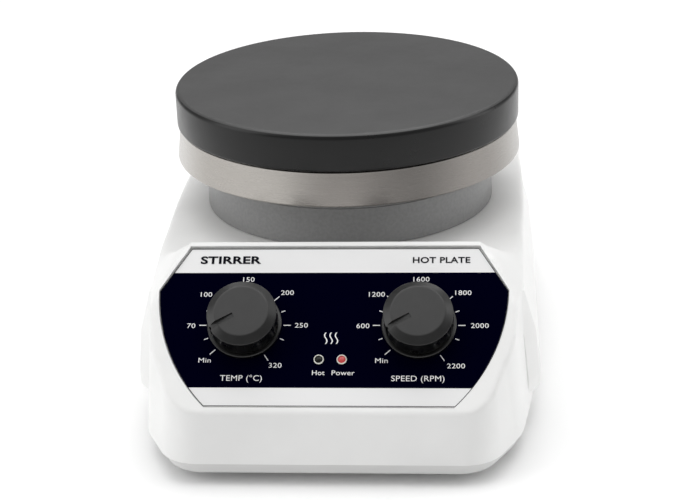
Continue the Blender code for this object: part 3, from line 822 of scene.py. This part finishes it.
ink = {
    "layer": 0.04 * mm,
    "lift": 0.03 * mm,
    "number": 2.62 * mm,  # text size, about 1.35 times the height of a capital
    "word": 3.05 * mm,
    "border": 0.28 * mm,  # the fine line round the film's edge
    "majorTick": (13.8 * mm, 16.4 * mm),
    "minorTick": (13.8 * mm, 15.3 * mm),
    "tickWidth": 0.32 * mm,
    "spacing": 1.04,
}
knobScales = {
    "temp": {"x": -panel["knobX"], "caption": "TEMP (\u00b0C)", "numbers": (
        ("150", 0.1, 18.1), ("100", -14.9, 12.1), ("70", -19.3, -0.3), ("200", 14.6, 12.8),
        ("250", 20.2, -0.1), ("320", 11.6, -15.6), ("Min", -13.5, -13.7))},
    "speed": {"x": panel["knobX"], "caption": "SPEED (RPM)", "numbers": (
        ("1600", 0.3, 18.1), ("1200", -15.5, 12.1), ("600", -19.9, -0.3), ("1800", 15.3, 12.7),
        ("2000", 21.4, -0.2), ("2200", 13.1, -15.7), ("Min", -13.0, -13.7))},
}
# lamp captions and the words at the film's upper corners:
# name, words, text size, x, height on the film, ink, stretch, thickening
captions = (
    ("hot_caption", "Hot", 2.6, -4.1, 12.6, "inkWhite", 1.08, 0),
    ("power_caption", "Power", 2.6, 4.6, 12.6, "inkWhite", 1.16, 0),
    ("stirrer_caption", "STIRRER", 4.1, -37.8, 56.9, "inkNavy", 1.42, 0.13),
    ("hotplate_caption", "HOT PLATE", 3.3, 38.6, 56.8, "inkNavy", 1.18, 0.07),
)
majorTicks = (223.7, 180, 135, 90, 44, 0, -56.5)
minorTicks = (201.5, 158, 112.5, 67, 22, -22)


def addWords(name, words, size, x, s, finish, stretch=1.0, weight=0.0):
    clearSelection()
    bpy.ops.object.text_add()
    letters = bpy.context.object
    letters.data.body = words
    letters.data.size = size
    letters.data.align_x = "CENTER"
    letters.data.align_y = "CENTER"
    letters.data.offset = weight
    letters.data.extrude = ink["layer"] / 2
    letters.data.space_character = ink["spacing"]
    letters.data.resolution_u = 4
    bpy.ops.object.convert(target="MESH")
    piece = nameActive(name)
    place = onPanel(x, s, ink["lift"] + ink["layer"] * 1.5)
    settle(piece, place @ Matrix.Diagonal((stretch, 1, 1, 1)))
    return dress(piece, finish)


def buildFilm():
    film = prism("panel_film", labelOutline(), -panel["film"], 0, panelFrame)
    slant = (panel["bandHigh"] - panel["apex"]) / (panel["length"] - panel["apex"])
    corner = (panel["halfWidth"] + (panel["topHalf"] - panel["halfWidth"]) * slant, panel["bandHigh"])
    outline = mirrored(filmSide(panel["bandLow"], 20) + [corner])
    band = prism("panel_band", outline, 0, ink["layer"], panelFrame)
    for piece in (film, band):
        cutWith(piece, *panelHoles(-5 * mm, 5 * mm))
    border = prism("panel_border", labelOutline(), 0, ink["layer"], panelFrame)
    inner = labelOutline(-ink["border"], -ink["border"], -ink["border"])
    cutWith(border, prism("inner", inner, -mm, mm, panelFrame))
    dress(border, "inkGrey")
    dress(film, "filmWhite", replaces=("panel_overlay",))
    dress(band, "filmNavy")


def addTicks(name, x):
    pieces = []
    for angles, (near, far) in ((majorTicks, ink["majorTick"]), (minorTicks, ink["minorTick"])):
        for angle in angles:
            turn = onPanel(x, panel["knobS"]) @ Matrix.Rotation(math.radians(angle), 4, "Z")
            half = ink["tickWidth"] / 2
            low, high = (near, -half, ink["lift"]), (far, half, ink["lift"] + ink["layer"] * 2)
            pieces.append(addBlock("tick", low, high, turn))
    gather(pieces)
    return dress(nameActive(name), "inkWhite")


def buildPrint():
    for word, scale in knobScales.items():
        addTicks(word + "_ticks", scale["x"])
        for number, (label, x, s) in enumerate(scale["numbers"], 1):
            name, x, s = f"{word}_number_{number}", scale["x"] + x * mm, panel["knobS"] + s * mm
            addWords(name, label, ink["number"], x, s, "inkWhite", 1.2)
        x = scale["x"] - 0.1 * mm
        addWords(word + "_caption", scale["caption"], ink["word"], x, 10.5 * mm, "inkWhite", 1.08)
    for name, words, size, x, s, finish, stretch, weight in captions:
        addWords(name, words, size * mm, x * mm, s * mm, finish, stretch, weight * mm)


# three rising waves over the lamps, in millimetres
heatMark = {
    "places": (-1.9, 0, 1.9),
    "height": 4.4,
    "sway": 0.45,
    "halfWidth": 0.22,
    "s": 26,
}


def addHeatMark():
    waves = []
    height, half = heatMark["height"], heatMark["halfWidth"]
    place = onPanel(0, heatMark["s"] * mm)
    for shift in heatMark["places"]:
        middle = []
        for k in range(17):
            sway = heatMark["sway"] * math.sin(math.tau * k / 16)
            middle.append((shift + sway, -height / 2 + height * k / 16))
        outline = [(x + half, y) for x, y in middle] + [(x - half, y) for x, y in reversed(middle)]
        points = [(x * mm, y * mm) for x, y in outline]
        waves.append(prism("wave", points, ink["lift"], ink["lift"] + ink["layer"] * 2, place))
    gather(waves)
    dress(nameActive("heat_mark"), "inkWhite")


buildFilm()
buildPrint()
addHeatMark()
print("panel ready")


knob = {
    "face": 9.6 * mm,
    "rim": 12.35 * mm,
    "skirt": 13.25 * mm,
    "height": 12.0 * mm,
    "chamfer": 1.7 * mm,
    "flutes": 12,
    "fluteRadius": 5.0 * mm,
    "fluteDepth": 0.35 * mm,
    "groove": 2.0 * mm,
    "pointer": 209.0,  # degrees, where the pointer rests
    "soft": 0.25 * mm,  # size of the small roundings
    "bore": (3.3 * mm, 9.5 * mm),  # radius and depth of the shaft hole
    "hollow": (9 * mm, 4 * mm),
}


def buildKnob(word, x):
    height, rim, skirt = knob["height"], knob["rim"], knob["skirt"]
    face, shoulder, soft = knob["face"], height - knob["chamfer"], knob["soft"]
    bore, boreHigh = knob["bore"]
    hollow, hollowHigh = knob["hollow"]
    profile = [
        (0, height), (face - 2 * soft, height), (face - 0.4 * soft, height),
        (face + 0.4 * soft, height - 0.25 * soft), (face + 1.6 * soft, height - 0.9 * soft),
        (rim - 1.8 * soft, shoulder + 0.8 * soft), (rim - 0.5 * soft, shoulder + 0.1 * soft),
        (rim, shoulder - 0.6 * soft), (rim, shoulder - 1.6 * soft),
        (rim, 3.4 * mm), (rim - 0.4 * mm, 3.2 * mm), (rim - 0.4 * mm, 2.2 * mm),
        (skirt - 0.25 * mm, 2.1 * mm), (skirt, 1.85 * mm), (skirt, 0.7 * mm), (skirt - 0.2 * mm, 0.5 * mm),
        (hollow, 0.5 * mm), (hollow, hollowHigh), (bore, hollowHigh), (bore, boreHigh), (0, boreHigh)]
    piece = turnProfile(word + "_dial", profile, 144)
    cutters = []
    for k in range(knob["flutes"]):
        turn = Matrix.Rotation(math.tau * (k + 0.5) / knob["flutes"], 4, "Z")
        shift = Matrix.Translation((rim + knob["fluteRadius"] - knob["fluteDepth"], 0, 0))
        cutters.append(addDisc("flute", knob["fluteRadius"], 3.6 * mm, shoulder - 0.5 * mm, 40, turn @ shift))
    flutes = gather(cutters)
    turn = Matrix.Rotation(math.radians(knob["pointer"]), 4, "Z")
    slope = Matrix.Translation((3.0 * mm, 0, height - 0.4 * mm)) @ Matrix.Rotation(math.radians(6), 4, "Y")
    half = knob["groove"] / 2
    groove = addBlock("groove", (0, -half, 0), (15 * mm, half, 4 * mm), turn @ slope)
    fall = addBlock("groove", (rim - 0.5 * mm, -half * 0.6, 3.6 * mm), (14.5 * mm, half * 0.6, height), turn)
    cutWith(piece, flutes, groove, fall)
    settle(piece, onPanel(x, panel["knobS"]))
    smooth(piece, 25)
    dress(piece, "knob", body=word + "_dial", replaces=(word + "_knob",))
    # the side and the chamfer take darker copies of the knob plastic: painted shade
    piece.data.materials.append(finishes["knobShadedSide"])
    piece.data.materials.append(finishes["knobShadedChamfer"])
    inverse = panelFrame.inverted()
    for side in piece.data.polygons:
        place = inverse @ side.center
        if place.z < shoulder - 1.2 * soft:
            side.material_index = 1
        elif place.z < height - 0.1 * soft and math.hypot(place.x - x, place.y - panel["knobS"]) > face:
            side.material_index = 2
    return piece


def buildLamp(word, x, finish):
    place = onPanel(x, panel["lampS"])
    dome = [(r, -0.05 * mm + z * 0.5) for r, z in arc(0, 0, 1.4 * mm, 90, 0, 10)]
    lens = turnProfile(word + "_lens", dome + [(1.4 * mm, -13 * mm), (0, -13 * mm)], 48, place)
    dress(smooth(lens, 40), finish, replaces=(word + "_lamp",))
    section = [(1.46, 0.06), (1.46, 0.5), (1.5, 0.6), (1.68, 0.62), (1.76, 0.5), (1.78, 0.06), (1.46, 0.06)]
    ring = turnProfile(word + "_ring", [(r * mm, z * mm) for r, z in section], 48, place)
    dress(smooth(ring, 40), "bezel", replaces=(word + "_lamp_bezel",))


buildKnob("temp", -panel["knobX"])
buildKnob("speed", panel["knobX"])
buildLamp("hot", -panel["lampX"], "darkLens")
buildLamp("power", panel["lampX"], "redLens")
print("knobs and lamps ready")


base = {
    "tray": trayLow.z,
    "edge": ((0.0, 3.5), (0.25, 2.85), (0.9, 2.35), (4.9, 2.0)),  # height above the tray's floor, inset, mm
    "rimInset": 3.1 * mm,
    "rimWall": 1.8 * mm,
    "rimHigh": 11.5 * mm,
    "floor": 5.9 * mm,
    "vents": 7,
    "ventPitch": 7.5,  # mm
    "vent": (1.5 * mm, 17 * mm, 1.45 * mm),  # half width, half length, corner radius
    "boss": 5.5 * mm,  # radius of the pillars for the case screws
    "screwHole": 1.8 * mm,
    "headSeat": 3.4 * mm,
    "footHole": 3.3 * mm,
    "pillar": 2.4 * mm,
    "pillarPlaces": ((-26, -66), (-26, -26), (26, -66), (26, -26)),
    "foot": ((0, 8), (2.4, 8), (3.0, 7.4), (3.0, 3.0), (7.5, 3.0), (7.9, 2.7), (8.0, 2.1), (7.75, 0.8),
             (7.3, 0.2), (6.8, 0), (4.2, 0), (3.7, 0.5), (0, 0.5)),
    "screw": ((0, 20), (0.6, 20), (1.5, 18.6), (1.5, 5.8), (2.7, 5.7), (3.0, 5.3), (2.9, 4.4), (2.3, 3.75),
              (1.4, 3.6), (0, 3.6)),
    "screwPlaces": ((-44.0, -92.0), (44.0, -92.0), (-58.0, 66.0), (58.0, 66.0)),
    "footPlaces": ((-50.0, -78.0), (50.0, -78.0), (-52.0, 84.0), (52.0, 84.0)),
}


def trayPlan(z, inset):
    return [(x, y, z) for x, y, _ in casePlan(case["low"], inset)]


def spot(x, y, z=0.0):
    return Matrix.Translation((x * mm, y * mm, z * mm))


def cutCross(screw, reach, half, low, high):
    for turn in (0, 90):
        cross = Matrix.Rotation(math.radians(turn), 4, "Z")
        cutWith(screw, addBlock("driveSlot", (-reach, -half, low), (reach, half, high), cross))


def buildBase():
    loops = [trayPlan(base["tray"] + rise * mm, inset * mm) for rise, inset in base["edge"]]
    tray = loftLoops("base_tray", loops)
    rim = [trayPlan(z, base["rimInset"]) for z in (6 * mm, base["rimHigh"])]
    inside = [trayPlan(z, base["rimInset"] + base["rimWall"]) for z in (base["floor"], 20 * mm)]
    joinWith(tray, loftLoops("rim", rim))
    cutWith(tray, loftLoops("inside", inside))
    for x, y in base["screwPlaces"]:
        joinWith(tray, addDisc("boss", base["boss"], 5 * mm, 9 * mm, 24, spot(x, y)))
        cutWith(tray, addDisc("hole", base["screwHole"], 2 * mm, 10 * mm, 16, spot(x, y)))
        cutWith(tray, addDisc("headSeat", base["headSeat"], 2 * mm, 6.2 * mm, 32, spot(x, y)))
    for x, y in base["footPlaces"]:
        cutWith(tray, addDisc("footHole", base["footHole"], 2 * mm, 10 * mm, 24, spot(x, y)))
    for x, y in base["pillarPlaces"]:
        joinWith(tray, addDisc("pillar", base["pillar"], 5 * mm, 12 * mm, 16, spot(x, y)))
    slot = slotOutline(*base["vent"])
    for k in range(base["vents"]):
        shift = Matrix.Translation(plateAxis) @ spot((k - base["vents"] // 2) * base["ventPitch"], 0)
        cutWith(tray, prism("vent", slot, 0, 10 * mm, shift))
    # the tray's grey is painted shade under the case's edge
    dress(smooth(tray, 30), "tray", replaces=("base_pan",))

    foot = turnProfile("rubber_foot", [(r * mm, z * mm) for r, z in base["foot"]], 48)
    screw = turnProfile("tray_screw", [(r * mm, z * mm) for r, z in base["screw"]], 32)
    cutCross(screw, 1.6 * mm, 0.35 * mm, 3 * mm, 4.9 * mm)
    smooth(foot, 35)
    smooth(screw, 35)
    for number, (x, y) in enumerate(base["footPlaces"], 1):
        piece = copyTo(foot, f"rubber_foot_{number}", spot(x, y))
        dress(piece, "rubber", replaces=(f"foot_{number}",))
    for number, (x, y) in enumerate(base["screwPlaces"], 1):
        piece = copyTo(screw, f"tray_screw_{number}", spot(x, y))
        dress(piece, "steel", replaces=(f"case_screw_{number}",))
    bpy.data.objects.remove(foot, do_unlink=True)
    bpy.data.objects.remove(screw, do_unlink=True)


rodSocket = {
    "outside": 7 * mm,
    "flange": 1.7 * mm,  # its thickness
    "chamfer": 0.5 * mm,
    "threadRoot": 4.9 * mm,
    "threadCrest": 4.4 * mm,
    "threads": 20,  # drawn as ridges 0.75 mm apart
}


def buildRodSocket():
    low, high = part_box("rod_socket")
    flange, chamfer, outside = (high.x - low.x) / 2, rodSocket["chamfer"], rodSocket["outside"]
    root, under = rodSocket["threadRoot"], high.z - rodSocket["flange"]
    profile = [(root, high.z), (flange - chamfer, high.z), (flange, high.z - chamfer), (flange, under),
               (outside, under), (outside, low.z), (root, low.z)]
    for k in range(rodSocket["threads"]):
        z = low.z + 0.4 * mm + k * 0.75 * mm
        profile += [(root, z), (rodSocket["threadCrest"], z + 0.37 * mm)]
    profile.append(profile[0])
    axis = Matrix.Translation(((low.x + high.x) / 2, (low.y + high.y) / 2, 0))
    bush = turnProfile("rod_bush", profile, 64, axis)
    dress(smooth(bush, 30), "steel", replaces=("rod_socket",))


buildBase()
buildRodSocket()
print("base ready")


rear = {
    "face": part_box("rear_panel")[1].y,
    "ventX": 1.8 * mm,
    "vents": 6,
    "ventLow": 18.5 * mm,
    "ventPitch": 4.4 * mm,
    "vent": (5.5 * mm, 0.9 * mm, 0.85 * mm),  # half length, half height, corner radius
    "screws": ((-45.6, 15.6), (45.6, 15.6), (-45.6, 44.0), (45.6, 44.0)),
}


def onRear(x, z, height=0.0):
    return Matrix.Translation((x, rear["face"] + height, z)) @ Matrix.Rotation(math.radians(-90), 4, "X")


def buildRear():
    plate = refineNode("rear_panel", "rear_plate", 0.25 * mm)
    for k in range(rear["vents"]):
        place = onRear(rear["ventX"], rear["ventLow"] + k * rear["ventPitch"])
        cutWith(plate, prism("vent", slotOutline(*rear["vent"]), -5 * mm, 5 * mm, place))
    dress(smooth(plate, 30), "steel", replaces=("rear_panel",))

    section = [(0, 0.9), (1.0, 0.85), (1.8, 0.55), (2.2, 0.0), (0, 0.0)]
    head = turnProfile("panel_screw", [(r * mm, z * mm) for r, z in section], 32)
    cutCross(head, 1.2 * mm, 0.25 * mm, 0.4 * mm, 2 * mm)
    smooth(head, 35)
    for number, (x, z) in enumerate(rear["screws"], 1):
        piece = copyTo(head, f"panel_screw_{number}", onRear(x * mm, z * mm, 0.02 * mm))
        dress(piece, "steel")
    bpy.data.objects.remove(head, do_unlink=True)

    inlet = refineNode("mains_inlet", "inlet_moulding", 0.5 * mm)
    dress(inlet, "blackPlastic", replaces=("mains_inlet",))
    for word in ("live", "neutral", "earth"):
        pin = refineNode("inlet_pin_" + word, word + "_blade", 0.35 * mm)
        dress(pin, "brass", replaces=("inlet_pin_" + word,))
    drawer = refineNode("fuse_drawer", "fuse_holder", 0.3 * mm)
    low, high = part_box("fuse_drawer")
    grip = addBlock("grip", (low.x + 7 * mm, high.y - 0.5 * mm, low.z + 1.2 * mm),
                    (high.x - 7 * mm, high.y + 1 * mm, low.z + 2.4 * mm))
    cutWith(drawer, grip)
    dress(drawer, "blackPlastic", body="fuse_tray", replaces=("fuse_drawer",))
    frameRing = refineNode("rocker_frame", "switch_bezel", 0.5 * mm)
    dress(frameRing, "blackPlastic", replaces=("rocker_frame",))


rocker = {
    "tilt": math.radians(10),  # at rest
    "slope": math.radians(-9.7),  # of each half away from the middle
    "markOut": 1.9 * mm,  # the marks' distance from the pivot, outwards and up or down
    "markUp": 4.2 * mm,
    "bar": ((-0.25 * mm, -1.4 * mm, -0.05 * mm), (0.25 * mm, 1.4 * mm, 0.04 * mm)),
    "ring": ((1.1, -0.05), (1.1, 0.04), (1.55, 0.04), (1.55, -0.05), (1.1, -0.05)),
}


def markPlace(side):
    pivot = Matrix.Translation(Vector(joints["rocker_tilt"]["pos_m"]))
    tilt = Matrix.Rotation(rocker["tilt"], 4, "X")
    slope = Matrix.Rotation(rocker["slope"] * side, 4, "X")
    shift = Matrix.Translation((0, rocker["markOut"], side * rocker["markUp"]))
    return pivot @ tilt @ slope @ shift @ Matrix.Rotation(-math.pi / 2, 4, "X")


def buildRocker():
    paddle = refineNode("power_rocker", "switch_rocker", 0.5 * mm)
    dress(paddle, "blackPlastic", body="rocker", replaces=("power_rocker",))
    bar = softenEdges(addBlock("on_mark", *rocker["bar"]), 0.02 * mm, 1)
    settle(bar, markPlace(1))
    ring = turnProfile("off_mark", [(r * mm, z * mm) for r, z in rocker["ring"]], 40, markPlace(-1))
    for mark in (bar, ring):
        dress(mark, "inkWhite", body="rocker")


buildRear()
buildRocker()
print("rear side ready")
